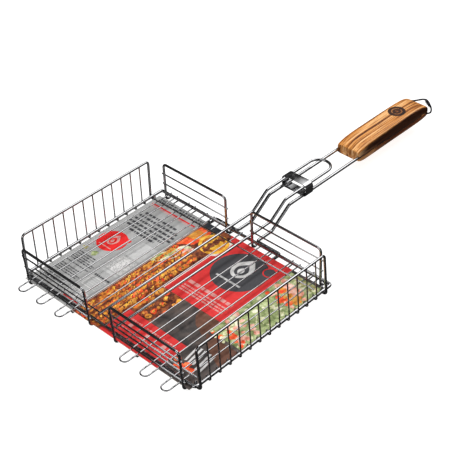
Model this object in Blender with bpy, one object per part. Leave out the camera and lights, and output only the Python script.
"""Hinged wire grill basket with folding sides, a flat wire lid, a two-rod handle and a split wooden grip.

All lengths below are millimetres in the basket's own frame: X runs from the front rail to the grip,
Y runs across the basket, and Z is up from the centre line of the base rail.
"""

import math

import bpy
from mathutils import Vector

MM = 0.001

# Basket frame
RAIL_R = 2.5
RAIL_X = 137.2
RAIL_Y = 175.0
RAIL_BEND = 4.0

# Footprint centre and height of the base rail above the standing surface
CENTRE_X = 202.25
LIFT = 11.0

# Wires
THIN_R = 1.1
BAR_R = 1.2
FRAME_R = 2.0
TONGUE_R = 2.25
ROD_R = 2.5

# Heights of the stacked wire layers
CARD_Z = (-3.2, -2.8)
FLOOR_WIRE_Z = -4.6
SUPPORT_Z = -8.5
LID_WIRE_Z = 3.9
LID_CROSS_Z = 6.4
TONGUE_Z = 10.05

# Floor
FLOOR_WIRE_YS = (-140.0, -100.0, -60.0, -20.0, 20.0, 60.0, 100.0, 140.0)
FLOOR_WIRE_X = 139.5

# Display card that lies on the floor wires
CARD_X = (-144.6, 127.5)
CARD_Y = 170.6
HOOK_NOTCH = (10.0, 11.2)
EYE_NOTCH = (7.0, 2.4)

# Side walls: front and back leg, top rail offset from the rail, height
WALLS = {
    "wall_left": (1.0, -132.4, 116.6, 178.6),
    "wall_right": (-1.0, -132.1, 120.9, 175.3),
}
WALL_TOP_Z = 65.0
WALL_BEND = 6.0
WALL_WIRES = 12
LEG_EYE_R = 4.8
WIRE_EYE_R = 3.9
EYE_SWEEP = 235.0

# End panels: rail side, the two leg positions across the basket, leg foot and leg head along X, bar heights
FRONT_BARS = (45.4, 25.2, 6.8)
BACK_BARS = (40.8, 22.3, 6.4)
PANELS = {
    "end_panel_front_left": (-1.0, 25.7, 159.0, -144.8, -148.3, FRONT_BARS),
    "end_panel_front_right": (-1.0, -160.5, -26.9, -144.8, -148.3, FRONT_BARS),
    "end_panel_back_left": (1.0, 27.0, 160.5, 132.2, 132.0, BACK_BARS),
    "end_panel_back_right": (1.0, -159.6, -26.4, 132.2, 132.0, BACK_BARS),
}
PANEL_TOP_Z = 60.2
PANEL_BEND = 6.0
HOOK_R = 5.6
HOOK_DROP = 2.5
HOOK_SWEEP = 135.0
BAR_OVERHANG = 4.3

# Lid
HAIRPIN_YS = (147.2, 106.8, 66.3, -69.2, -109.3, -149.2)
HAIRPIN_HALF = 7.0
HAIRPIN_BEND_X = -164.4
LID_BACK_X = 138.9
SINGLE_YS = (40.5, -0.3, -43.7)
SINGLE_FRONT_X = -139.2
CROSS_XS = (-127.5, 106.9)
CROSS_YS = (-169.0, 166.0)

# Tongue: closed loop of rod over the handle
TONGUE_Y = -0.8
TONGUE_HALF = 18.8
TONGUE_FRONT_X = -134.0
TONGUE_PROFILE = ((181.5, TONGUE_Z), (214.5, 33.3))
TONGUE_LOOP_X = 315.2
TONGUE_BEND = 12.0

# Handle rods
HANDLE_HALF = 20.3
HANDLE_PROFILE = ((183.0, -8.4), (222.5, 19.2))
HANDLE_END_X = 556.0
HANDLE_BENDS = (0.0, 12.0, 10.0, 0.0, 5.0, 5.0, 0.0)
HANDLE_LEVEL_X = 173.0
OFFSET_RUN_X = 148.5
SUPPORT_Y = 67.5
SUPPORT_FRONT_X = -143.5

# Sliding lock band
LOCK_X = (256.5, 273.5)
LOCK_Y = 25.4
LOCK_Z = (15.0, 37.2)
LOCK_BEND = 6.0
LOCK_SHEET = 1.0

# Wooden grip
GRIP_SPLIT_Z = 19.2
GRIP_SPLIT_GAP = 0.3
GRIP_POWER = 7.0
GRIP_STATIONS = (
    # x, half-width, upper thickness, lower thickness
    (390.0, 22.2, 9.4, 6.8),
    (391.2, 22.5, 10.6, 7.8),
    (396.0, 22.7, 12.4, 10.2),
    (404.0, 22.8, 14.6, 11.4),
    (416.0, 22.9, 16.0, 11.6),
    (432.0, 23.0, 16.7, 11.4),
    (460.0, 23.0, 17.0, 11.0),
    (500.0, 23.0, 17.2, 10.8),
    (535.0, 23.0, 16.9, 10.8),
    (552.0, 22.9, 15.9, 10.6),
    (564.0, 22.7, 14.2, 9.8),
    (572.0, 22.4, 11.4, 8.4),
    (576.0, 21.8, 8.6, 6.6),
    (577.0, 21.0, 7.0, 5.4),
)
GRIP_SIDES = 18
GROOVE_R = 2.8
GROOVE_X = (380.0, 557.5)
SCREW_XS = (432.0, 536.0)
SCREW_SHANK_R = 1.5
SCREW_HEAD_R = 3.2
SCREW_TOP_Z = 27.0
SCREW_HEAD_Z = (9.2, 11.2)
SCREW_PLAY = 0.3
CORD_HOLE = (570.0, 2.0)

# Hanging cord: a loop round the far end of the grip
CORD_R = 1.4
CORD_ROUTE = (
    (570.0, 3.0, 19.2), (570.0, 12.0, 19.2), (570.0, 19.6, 19.2), (570.0, 22.6, 19.2), (570.8, 25.5, 19.3),
    (572.9, 27.6, 19.6), (575.8, 28.4, 20.0), (578.7, 27.6, 20.4), (580.7, 25.4, 20.9), (581.3, 22.2, 21.5),
    (580.9, 16.0, 23.2), (580.6, 9.0, 26.2), (581.6, 1.0, 30.4), (583.2, -6.5, 33.7), (583.8, -12.5, 34.6),
    (582.8, -17.6, 32.8), (581.6, -21.4, 29.8), (580.4, -24.8, 26.4), (578.5, -27.2, 23.2), (575.8, -28.2, 20.8),
    (572.9, -27.5, 19.7), (570.8, -25.5, 19.2), (570.0, -22.6, 19.2), (570.0, -19.6, 19.2), (570.0, -12.0, 19.2),
    (570.0, -3.0, 19.2),
)

STEEL = (0.62, 0.62, 0.63)
WOOD = (0.80, 0.52, 0.30)
CORD_COLOUR = (0.02, 0.02, 0.03)
CARD_COLOUR = (0.75, 0.16, 0.14)


def make_material(name, colour, roughness, metallic):
    material = bpy.data.materials.new(name)
    material.use_nodes = True
    shader = material.node_tree.nodes["Principled BSDF"]
    shader.inputs["Base Color"].default_value = (*colour, 1.0)
    shader.inputs["Roughness"].default_value = roughness
    shader.inputs["Metallic"].default_value = metallic
    material.diffuse_color = (*colour, 1.0)
    return material


def chrome(name):
    return make_material(f"{name}_chrome", STEEL, 0.12, 1.0)


def place(obj, pivot, parent):
    """Parent an object to the basket frame with its origin at a pivot."""
    obj.parent = parent
    obj.location = Vector(pivot) * MM


def add_mesh(name, verts, faces, material, parent, pivot=(0.0, 0.0, 0.0)):
    """Add a mesh object whose millimetre vertices are given in the basket's frame."""
    mesh = bpy.data.meshes.new(name)
    shift = Vector(pivot)
    mesh.from_pydata([(Vector(v) - shift) * MM for v in verts], [], faces)
    mesh.shade_smooth()
    mesh.set_sharp_from_angle(angle=math.radians(42.0))
    mesh.materials.append(material)
    obj = bpy.data.objects.new(name, mesh)
    bpy.context.collection.objects.link(obj)
    place(obj, pivot, parent)
    return obj


def arc(centre, start, end, radius, axes, steps):
    """Points on an arc in the plane of two axes, from angle start to angle end in degrees."""
    first, second = Vector(axes[0]), Vector(axes[1])
    points = []
    for k in range(steps + 1):
        angle = math.radians(start + (end - start) * k / steps)
        offset = first * math.cos(angle) + second * math.sin(angle)
        points.append(Vector(centre) + offset * radius)
    return points


def rounded(points, radii, closed=False):
    """Replace a path's corners by arcs. A radius of 0 keeps the corner."""
    points = [Vector(p) for p in points]
    count = len(points)
    path = []
    for k, corner in enumerate(points):
        if radii[k] == 0.0 or (not closed and k in (0, count - 1)):
            path.append(corner)
            continue
        to_last = (points[k - 1] - corner).normalized()
        to_next = (points[(k + 1) % count] - corner).normalized()
        half = to_last.angle(to_next) / 2.0
        reach = radii[k] / math.tan(half)
        centre = corner + (to_last + to_next).normalized() * (radii[k] / math.sin(half))
        start = corner + to_last * reach - centre
        end = corner + to_next * reach - centre
        turn = start.angle(end)
        steps = max(2, math.ceil(math.degrees(turn) / 18.0))
        side = (end - start * math.cos(turn)) / math.sin(turn)
        for j in range(steps + 1):
            angle = turn * j / steps
            path.append(centre + start * math.cos(angle) + side * math.sin(angle))
    return path


def ring_frames(path, closed, normal):
    """One tangent and one transported normal for each point of a path."""
    count = len(path)
    frames = []
    for k, point in enumerate(path):
        before = path[k - 1] if closed or k > 0 else point
        after = path[(k + 1) % count] if closed or k < count - 1 else point
        into = (point - before).normalized() if point != before else (after - point).normalized()
        out = (after - point).normalized() if after != point else into
        tangent = (into + out).normalized()
        normal = (normal - tangent * normal.dot(tangent)).normalized()
        stretch = 1.0 / max(0.5, tangent.dot(out))
        bend = out - into
        frames.append((point, tangent, normal.copy(), bend, stretch))
    return frames


def tube(path, radius, normal, sides, closed=False):
    """Vertices and faces of a round tube along a path."""
    verts = []
    faces = []
    for point, tangent, first, bend, stretch in ring_frames(path, closed, Vector(normal)):
        second = tangent.cross(first)
        for j in range(sides):
            angle = 2.0 * math.pi * j / sides
            offset = first * math.cos(angle) + second * math.sin(angle)
            if bend.length > 1e-6:
                across = bend.normalized()
                offset += across * (offset.dot(across) * (stretch - 1.0))
            verts.append(point + offset * radius)
    rings = len(path)
    for k in range(rings if closed else rings - 1):
        here = k * sides
        there = ((k + 1) % rings) * sides
        for j in range(sides):
            n = (j + 1) % sides
            faces.append((here + j, here + n, there + n, there + j))
    if not closed:
        faces.append(tuple(range(sides - 1, -1, -1)))
        faces.append(tuple(range((rings - 1) * sides, rings * sides)))
    return verts, faces


def merge_shells(shells):
    """One vertex and face list from several separate shells."""
    verts = []
    faces = []
    for shell_verts, shell_faces in shells:
        base = len(verts)
        verts.extend(shell_verts)
        faces.extend(tuple(base + k for k in face) for face in shell_faces)
    return verts, faces


def add_tool(name, shells, parent, pivot=(0.0, 0.0, 0.0)):
    """A hidden operand for a Boolean modifier."""
    verts, faces = merge_shells(shells)
    material = make_material(f"{name}_tool", STEEL, 0.5, 0.0)
    obj = add_mesh(name, verts, faces, material, parent, pivot)
    obj.hide_render = True
    obj.hide_viewport = True
    obj.display_type = "WIRE"
    return obj


def boolean(obj, operand, operation):
    modifier = obj.modifiers.new(operation.lower(), "BOOLEAN")
    modifier.operation = operation
    modifier.solver = "EXACT"
    modifier.object = operand


def straight(start, end, radius, sides=8):
    return tube([Vector(start), Vector(end)], radius, (0, 0, 1), sides)


def add_wire(name, start, end, radius, parent, sides=8, pivot=(0.0, 0.0, 0.0)):
    verts, faces = straight(start, end, radius, sides)
    return add_mesh(name, verts, faces, chrome(name), parent, pivot)


def add_base(parent):
    corners = [(RAIL_X, RAIL_Y, 0), (-RAIL_X, RAIL_Y, 0), (-RAIL_X, -RAIL_Y, 0), (RAIL_X, -RAIL_Y, 0)]
    path = rounded(corners, [RAIL_BEND] * 4, closed=True)
    verts, faces = tube(path, RAIL_R, (0, 0, 1), 10, closed=True)
    add_mesh("base_rail", verts, faces, chrome("base_rail"), parent)
    for k, y in enumerate(FLOOR_WIRE_YS, 1):
        ends = (-FLOOR_WIRE_X, y, FLOOR_WIRE_Z), (FLOOR_WIRE_X, y, FLOOR_WIRE_Z)
        add_wire(f"floor_wire_{k}", *ends, THIN_R, parent)


def card_outline():
    """The card's corner points, with notches for the panels' hooks and the walls' thick eyes."""
    width, depth = HOOK_NOTCH
    points = [(CARD_X[1], -CARD_Y), (CARD_X[1], CARD_Y)]
    eye_width, eye_depth = EYE_NOTCH
    for x in sorted(WALLS["wall_left"][1:3], reverse=True):
        points += [(x + eye_width / 2, CARD_Y), (x + eye_width / 2, CARD_Y - eye_depth),
                   (x - eye_width / 2, CARD_Y - eye_depth), (x - eye_width / 2, CARD_Y)]
    points.append((CARD_X[0], CARD_Y))
    legs = [y for spec in PANELS.values() if spec[0] < 0 for y in spec[1:3]]
    for y in sorted(legs, reverse=True):
        points += [(CARD_X[0], y + width / 2), (CARD_X[0] + depth, y + width / 2),
                   (CARD_X[0] + depth, y - width / 2), (CARD_X[0], y - width / 2)]
    points.append((CARD_X[0], -CARD_Y))
    for x in sorted(WALLS["wall_right"][1:3]):
        points += [(x - eye_width / 2, -CARD_Y), (x - eye_width / 2, -CARD_Y + eye_depth),
                   (x + eye_width / 2, -CARD_Y + eye_depth), (x + eye_width / 2, -CARD_Y)]
    return points


def add_card(parent):
    outline = card_outline()
    count = len(outline)
    verts = [(x, y, z) for z in CARD_Z for x, y in outline]
    faces = [tuple(range(count - 1, -1, -1)), tuple(range(count, 2 * count))]
    for k in range(count):
        n = (k + 1) % count
        faces.append((k, n, count + n, count + k))
    material = make_material("display_card_print", CARD_COLOUR, 0.45, 0.0)
    add_mesh("display_card", verts, faces, material, parent)


def wall_upright(side, x, top_y, eye_r, radius, sides):
    """A leg or wire of a side wall: the eye round the rail, then the straight run up to the top rail."""
    centre = (x, side * RAIL_Y, 0.0)
    axes = ((0, side, 0), (0, 0, -1))
    path = arc(centre, EYE_SWEEP, 0.0, eye_r, axes, 8)
    path.append(Vector((x, side * top_y, WALL_TOP_Z)))
    return tube(path, radius, (1, 0, 0), sides)


def add_wall(name, parent):
    side, front, back, top_y = WALLS[name]
    pivot = (0.0, side * RAIL_Y, 0.0)
    axes = ((0, side, 0), (0, 0, -1))
    front_eye = arc((front, side * RAIL_Y, 0.0), EYE_SWEEP, 0.0, LEG_EYE_R, axes, 8)
    back_eye = arc((back, side * RAIL_Y, 0.0), 0.0, EYE_SWEEP, LEG_EYE_R, axes, 8)
    corners = [front_eye[-1], Vector((front, side * top_y, WALL_TOP_Z)),
               Vector((back, side * top_y, WALL_TOP_Z)), back_eye[0]]
    bent = rounded(corners, [0.0, WALL_BEND, WALL_BEND, 0.0])
    verts, faces = tube(front_eye[:-1] + bent + back_eye[1:], FRAME_R, (1, 0, 0), 10)
    frame = add_mesh(name, verts, faces, chrome(name), parent, pivot)
    pitch = (back - front) / (WALL_WIRES + 1)
    wires = []
    for k in range(1, WALL_WIRES + 1):
        wires.append(wall_upright(side, front + pitch * k, top_y, WIRE_EYE_R, THIN_R, 8))
    boolean(frame, add_tool(f"{name}_wires", wires, parent, pivot), "UNION")


def add_panel(name, parent):
    """One folding end panel: a bent frame that hooks under the end rail, with bars welded across it."""
    end, low_y, high_y, foot_x, head_x, bar_heights = PANELS[name]
    pivot = (end * RAIL_X, 0.0, 0.0)
    axes = ((1, 0, 0), (0, 0, 1))
    hooks = []
    for y in (low_y, high_y):
        centre = (foot_x + HOOK_R, y, -HOOK_DROP)
        hooks.append(arc(centre, 180.0, 180.0 + HOOK_SWEEP, HOOK_R, axes, 8))
    heads = [Vector((head_x, y, PANEL_TOP_Z)) for y in (low_y, high_y)]
    corners = [hooks[0][0], *heads, hooks[1][0]]
    bent = rounded(corners, [0.0, PANEL_BEND, PANEL_BEND, 0.0])
    verts, faces = tube(hooks[0][:0:-1] + bent + hooks[1][1:], FRAME_R, (0, 1, 0), 10)
    frame = add_mesh(name, verts, faces, chrome(name), parent, pivot)
    bars = []
    for z in bar_heights:
        share = (z + HOOK_DROP) / (PANEL_TOP_Z + HOOK_DROP)
        x = foot_x + (head_x - foot_x) * share
        bars.append(straight((x, low_y - BAR_OVERHANG, z), (x, high_y + BAR_OVERHANG, z), BAR_R))
    boolean(frame, add_tool(f"{name}_bars", bars, parent, pivot), "UNION")


def add_lid(parent):
    pivot = (-RAIL_X, 0.0, 0.0)
    for k, y in enumerate(HAIRPIN_YS, 1):
        bend = arc((HAIRPIN_BEND_X, y, LID_WIRE_Z), 90.0, 270.0, HAIRPIN_HALF, ((1, 0, 0), (0, 1, 0)), 10)
        path = [Vector((LID_BACK_X, y + HAIRPIN_HALF, LID_WIRE_Z)), *bend,
                Vector((LID_BACK_X, y - HAIRPIN_HALF, LID_WIRE_Z))]
        name = f"lid_hairpin_{k}"
        verts, faces = tube(path, THIN_R, (0, 0, 1), 8)
        add_mesh(name, verts, faces, chrome(name), parent, pivot)
    for k, y in enumerate(SINGLE_YS, 1):
        ends = (SINGLE_FRONT_X, y, LID_WIRE_Z), (LID_BACK_X, y, LID_WIRE_Z)
        add_wire(f"lid_wire_{k}", *ends, THIN_R, parent, pivot=pivot)
    for label, x in zip(("front", "back"), CROSS_XS):
        ends = (x, CROSS_YS[0], LID_CROSS_Z), (x, CROSS_YS[1], LID_CROSS_Z)
        add_wire(f"lid_cross_wire_{label}", *ends, THIN_R, parent, pivot=pivot)
    add_tongue(parent, pivot)


def add_tongue(parent, pivot):
    """The lid's two rods, bent up over the handle and joined by a round loop."""
    (low_x, low_z), (high_x, high_z) = TONGUE_PROFILE
    left = TONGUE_Y + TONGUE_HALF
    right = TONGUE_Y - TONGUE_HALF
    profile = [(TONGUE_FRONT_X, low_z), (low_x, low_z), (high_x, high_z), (TONGUE_LOOP_X, high_z)]
    runs = []
    for y in (left, right):
        runs.append(rounded([(x, y, z) for x, z in profile], [0.0, TONGUE_BEND, TONGUE_BEND, 0.0]))
    loop = arc((TONGUE_LOOP_X, TONGUE_Y, high_z), 90.0, -90.0, TONGUE_HALF, ((1, 0, 0), (0, 1, 0)), 12)
    path = runs[0][:-1] + loop + runs[1][-2::-1]
    verts, faces = tube(path, TONGUE_R, (0, 0, 1), 10)
    add_mesh("lid_tongue", verts, faces, chrome("lid_tongue"), parent, pivot)


def add_handle_rod(name, side, parent):
    """A handle rod: out of the grip, down to floor level, across behind the rail, then under the floor."""
    (low_x, low_z), (high_x, high_z) = HANDLE_PROFILE
    y = side * HANDLE_HALF
    foot_y = side * SUPPORT_Y
    corners = [
        (HANDLE_END_X, y, high_z), (high_x, y, high_z), (low_x, y, low_z), (HANDLE_LEVEL_X, y, SUPPORT_Z),
        (OFFSET_RUN_X, y, SUPPORT_Z), (OFFSET_RUN_X, foot_y, SUPPORT_Z), (SUPPORT_FRONT_X, foot_y, SUPPORT_Z),
    ]
    path = rounded(corners, HANDLE_BENDS)
    verts, faces = tube(path, ROD_R, (0, 0, 1), 10)
    add_mesh(name, verts, faces, chrome(name), parent)


def add_lock_band(parent):
    pivot = (sum(LOCK_X) / 2, 0.0, GRIP_SPLIT_Z)
    loops = []
    for inset in (0.0, LOCK_SHEET):
        y = LOCK_Y - inset
        low, high = LOCK_Z[0] + inset, LOCK_Z[1] - inset
        corners = [(0, y, low), (0, y, high), (0, -y, high), (0, -y, low)]
        loops.append(rounded(corners, [LOCK_BEND - inset] * 4, closed=True))
    count = len(loops[0])
    verts = [(x, p.y, p.z) for x in LOCK_X for loop in loops for p in loop]
    faces = []
    for k in range(count):
        n = (k + 1) % count
        outer, inner, far_outer, far_inner = (j * count for j in range(4))
        faces.append((outer + k, outer + n, far_outer + n, far_outer + k))
        faces.append((inner + n, inner + k, far_inner + k, far_inner + n))
        faces.append((outer + n, outer + k, inner + k, inner + n))
        faces.append((far_outer + k, far_outer + n, far_inner + n, far_inner + k))
    add_mesh("lock_band", verts, faces, chrome("lock_band"), parent, pivot)


def grip_half(direction):
    """One grip half, lofted along X between the flat parting face and a crowned skin."""
    flat_z = GRIP_SPLIT_Z + direction * GRIP_SPLIT_GAP / 2
    verts = []
    for x, half_width, upper, lower in GRIP_STATIONS:
        height = upper if direction > 0 else lower
        for k in range(GRIP_SIDES + 1):
            angle = math.pi * k / GRIP_SIDES
            c, s = math.cos(angle), math.sin(angle)
            y = half_width * math.copysign(abs(c) ** (2.0 / GRIP_POWER), c)
            z = flat_z + direction * height * abs(s) ** (2.0 / GRIP_POWER)
            verts.append((x, y, z))
    ring = GRIP_SIDES + 1
    faces = []
    for k in range(len(GRIP_STATIONS) - 1):
        here, there = k * ring, (k + 1) * ring
        for j in range(GRIP_SIDES):
            faces.append((here + j, here + j + 1, there + j + 1, there + j))
        faces.append((here + GRIP_SIDES, here, there, there + GRIP_SIDES))
    faces.append(tuple(range(ring - 1, -1, -1)))
    last = (len(GRIP_STATIONS) - 1) * ring
    faces.append(tuple(range(last, last + ring)))
    if direction > 0:
        return verts, faces
    return verts, [tuple(reversed(face)) for face in faces]


def turned(x, profile, sides):
    """A solid turned about a vertical axis from (radius, z) points, bottom to top."""
    verts = []
    for radius, z in profile:
        for j in range(sides):
            angle = 2.0 * math.pi * j / sides
            verts.append((x + radius * math.cos(angle), radius * math.sin(angle), z))
    faces = [tuple(range(sides - 1, -1, -1))]
    for k in range(len(profile) - 1):
        for j in range(sides):
            n = (j + 1) % sides
            faces.append((k * sides + j, k * sides + n, (k + 1) * sides + n, (k + 1) * sides + j))
    last = (len(profile) - 1) * sides
    faces.append(tuple(range(last, last + sides)))
    return verts, faces


def grip_cuts():
    """Rod grooves, the cord hole and the screw holes."""
    shells = []
    for side in (1.0, -1.0):
        y = side * HANDLE_HALF
        ends = [(x, y, GRIP_SPLIT_Z) for x in GROOVE_X]
        shells.append(straight(*ends, GROOVE_R, 12))
    hole_x, hole_r = CORD_HOLE
    shells.append(straight((hole_x, -40.0, GRIP_SPLIT_Z), (hole_x, 40.0, GRIP_SPLIT_Z), hole_r, 16))
    for x in SCREW_XS:
        head_r = SCREW_HEAD_R + SCREW_PLAY
        shank_r = SCREW_SHANK_R + SCREW_PLAY
        head_top = SCREW_HEAD_Z[1] + SCREW_PLAY
        profile = [(head_r, 0.0), (head_r, head_top), (shank_r, head_top), (shank_r, SCREW_TOP_Z + SCREW_PLAY)]
        shells.append(turned(x, profile, 14))
    return shells


def add_grip(parent):
    cuts = add_tool("grip_cuts", grip_cuts(), parent)
    for name, direction in (("grip_upper", 1.0), ("grip_lower", -1.0)):
        verts, faces = grip_half(direction)
        material = make_material(f"{name}_wood", WOOD, 0.5, 0.0)
        boolean(add_mesh(name, verts, faces, material, parent), cuts, "DIFFERENCE")
    for k, x in enumerate(SCREW_XS, 1):
        profile = [
            (SCREW_HEAD_R - 0.5, SCREW_HEAD_Z[0]), (SCREW_HEAD_R, SCREW_HEAD_Z[0] + 0.5),
            (SCREW_HEAD_R, SCREW_HEAD_Z[1]), (SCREW_SHANK_R, SCREW_HEAD_Z[1]),
            (SCREW_SHANK_R, SCREW_TOP_Z - 1.0), (0.5, SCREW_TOP_Z),
        ]
        verts, faces = turned(x, profile, 14)
        add_mesh(f"grip_screw_{k}", verts, faces, chrome(f"grip_screw_{k}"), parent)


def smooth_route(points, steps):
    """Catmull-Rom samples through a route's points."""
    points = [Vector(p) for p in points]
    padded = [points[0] * 2 - points[1], *points, points[-1] * 2 - points[-2]]
    samples = []
    for k in range(1, len(padded) - 2):
        a, b, c, d = padded[k - 1:k + 3]
        for j in range(steps):
            t = j / steps
            samples.append(0.5 * (2 * b + (c - a) * t + (2 * a - 5 * b + 4 * c - d) * t ** 2
                                  + (3 * b - a - 3 * c + d) * t ** 3))
    samples.append(points[-1])
    return samples


def add_cord(parent):
    curve = bpy.data.curves.new("hanging_cord", "CURVE")
    curve.dimensions = "3D"
    curve.bevel_depth = CORD_R * MM
    curve.bevel_resolution = 2
    curve.use_fill_caps = True
    samples = smooth_route(CORD_ROUTE, 3)
    spline = curve.splines.new("POLY")
    spline.points.add(len(samples) - 1)
    for point, sample in zip(spline.points, samples):
        point.co = (*(sample * MM), 1.0)
    curve.materials.append(make_material("hanging_cord_fibre", CORD_COLOUR, 0.8, 0.0))
    obj = bpy.data.objects.new("hanging_cord", curve)
    bpy.context.collection.objects.link(obj)
    place(obj, (0.0, 0.0, 0.0), parent)


def main():
    for obj in list(bpy.data.objects):
        bpy.data.objects.remove(obj, do_unlink=True)
    parent = bpy.data.objects.new("basket_frame", None)
    bpy.context.collection.objects.link(parent)
    parent.location = Vector((-CENTRE_X, 0.0, LIFT)) * MM
    add_base(parent)
    add_card(parent)
    for name in WALLS:
        add_wall(name, parent)
    for name in PANELS:
        add_panel(name, parent)
    add_lid(parent)
    for name, side in (("handle_rod_left", 1.0), ("handle_rod_right", -1.0)):
        add_handle_rod(name, side, parent)
    add_lock_band(parent)
    add_grip(parent)
    add_cord(parent)


main()
